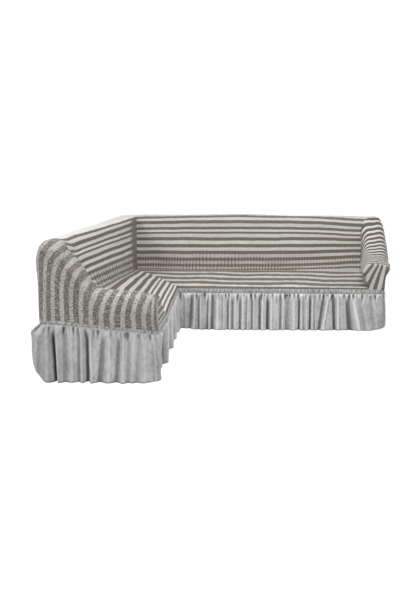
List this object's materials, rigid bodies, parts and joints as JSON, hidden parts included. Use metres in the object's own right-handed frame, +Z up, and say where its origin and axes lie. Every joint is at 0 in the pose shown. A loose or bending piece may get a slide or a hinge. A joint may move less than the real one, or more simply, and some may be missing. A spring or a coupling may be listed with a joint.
{
  "type": "corner sofa slipcover",
  "caption": "Fitted stretch slipcover for an L-shaped corner sofa: striped puckered cloth over backs, seats and arms, a gathered band and a gathered plain skirt to the floor.",
  "frame": {"origin": "centre of the plan's bounding box, at the lowest point of the skirt's hem", "axes": "+X along the long section, from the rear corner to its arm; the long section faces -Y; +Z up"},
  "size_m": [2.8018, 2.1806, 0.987],
  "materials": {
    "striped_cloth": "puckered stretch cloth in taupe and off-white stripes, matt",
    "band_cloth": "mid-grey elastic gathered band, matt",
    "skirt_cloth": "light grey plain polyester, soft sheen"
  },
  "bodies": {
    "root": {"long_section_cloth": "striped_cloth", "right_arm_cloth": "striped_cloth", "right_arm_front": "striped_cloth", "short_section_cloth": "striped_cloth", "left_arm_inner_cloth": "striped_cloth", "left_arm_end_cloth": "striped_cloth", "left_arm_front": "striped_cloth", "gathered_band_long_rear": "band_cloth", "gathered_band_right_end": "band_cloth", "gathered_band_long_front": "band_cloth", "gathered_band_short_front": "band_cloth", "gathered_band_left_end": "band_cloth", "gathered_band_short_rear": "band_cloth", "gathered_skirt_long_rear": "skirt_cloth", "gathered_skirt_right_end": "skirt_cloth", "gathered_skirt_long_front": "skirt_cloth", "gathered_skirt_short_front": "skirt_cloth", "gathered_skirt_left_end": "skirt_cloth", "gathered_skirt_short_rear": "skirt_cloth"}
  },
  "joints": []
}
